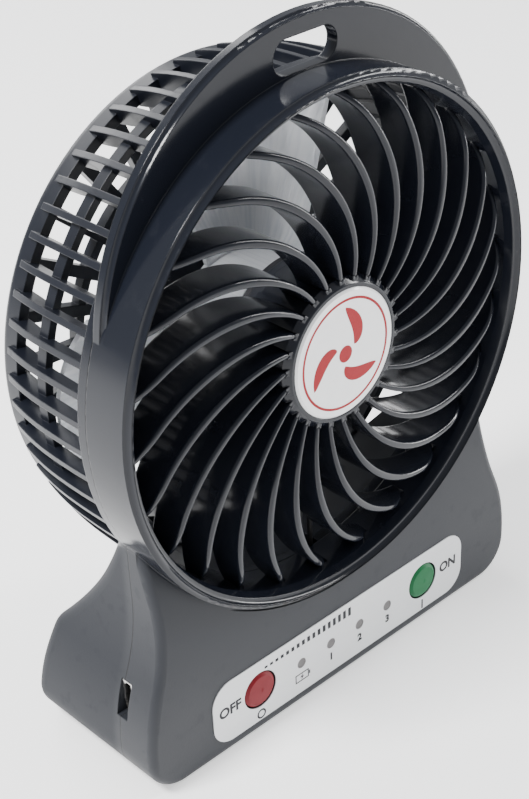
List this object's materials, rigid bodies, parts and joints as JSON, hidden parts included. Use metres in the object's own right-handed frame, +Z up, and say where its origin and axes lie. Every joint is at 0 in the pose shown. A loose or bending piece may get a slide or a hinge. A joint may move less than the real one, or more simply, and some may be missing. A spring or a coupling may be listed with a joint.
{
  "type": "desk fan",
  "caption": "Small rechargeable desk fan with a round swirl grille, a frosted impeller, a hang loop and a flared foot with push buttons and a charging socket.",
  "frame": {"origin": "centre of the footprint, on the surface the fan stands on", "axes": "+Z up, +Y to the rear, so that the air leaves along -Y; +X to the right seen from the front"},
  "size_m": [0.1052, 0.0398, 0.1405],
  "materials": {
    "black_shell": "moulded black ABS, glossy ring and vanes, satin base",
    "white_badge": "white printed disc",
    "silver_label": "silver printed film",
    "red_button": "glossy red",
    "green_button": "glossy green",
    "switch_body": "moulded switch housing",
    "switch_plunger": "moulded",
    "board": "green solder mask",
    "clear_plastic": "clear moulding",
    "lamp": "surface-mounted lamp",
    "chip": "moulded package",
    "plated_steel": "nickel plated",
    "screw_steel": "black zinc",
    "cell_sleeve": "shrink sleeve",
    "black_lead": "PVC insulation",
    "red_lead": "PVC insulation",
    "motor_cap": "nylon end cap",
    "ferrite": "ferrite ring",
    "bronze": "sintered bronze",
    "shaft_steel": "ground",
    "armature_steel": "laminations and copper windings",
    "motor_clamp_steel": "black",
    "plug_plastic": "nylon plug",
    "frosted_plastic": "frosted translucent moulding"
  },
  "bodies": {
    "housing": {"front_cover": "black_shell", "rear_cover": "black_shell", "hub_badge": "white_badge", "control_label": "silver_label", "off_switch": "switch_body", "on_switch": "switch_body", "circuit_board": "board", "light_guide": "clear_plastic", "charge_lamp": "lamp", "speed_lamp_1": "lamp", "speed_lamp_2": "lamp", "speed_lamp_3": "lamp", "control_chip": "chip", "charging_chip": "chip", "usb_shell": "plated_steel", "usb_tongue": "chip", "board_screws": "screw_steel", "housing_screws": "screw_steel", "battery_cell": "cell_sleeve", "battery_cap": "plated_steel", "negative_contact": "plated_steel", "negative_cell_lead": "black_lead", "positive_contact": "plated_steel", "positive_cell_lead": "red_lead", "motor_can": "plated_steel", "motor_end_cap": "motor_cap", "motor_magnet": "ferrite", "front_bush": "bronze", "rear_bush": "bronze", "motor_clamp": "motor_clamp_steel", "clamp_screws": "screw_steel", "motor_plug": "plug_plastic", "motor_lead_plus": "black_lead", "motor_lead_minus": "black_lead"},
    "rotor": {"motor_shaft": "shaft_steel", "armature": "armature_steel", "impeller": "frosted_plastic"},
    "off_button": {"off_button": "red_button", "off_switch_plunger": "switch_plunger"},
    "on_button": {"on_button": "green_button", "on_switch_plunger": "switch_plunger"},
    "battery_door": {"battery_door": "black_shell"}
  },
  "joints": [
    {"name": "rotor_spin", "type": "hinge", "parent": "housing", "child": "rotor", "pos_m": [0, 0, 0.0777], "axis": [0, 1, 0], "continuous": true},
    {"name": "off_button_press", "type": "slide", "parent": "housing", "child": "off_button", "axis": [0, 1, 0], "range_m": [0, 0.0004], "stiffness_N_per_m": 1200},
    {"name": "on_button_press", "type": "slide", "parent": "housing", "child": "on_button", "axis": [0, 1, 0], "range_m": [0, 0.0004], "stiffness_N_per_m": 1200},
    {"name": "battery_door_release", "type": "slide", "parent": "housing", "child": "battery_door", "axis": [0, 0.9671, 0.2545], "range_m": [0, 0.015]}
  ]
}
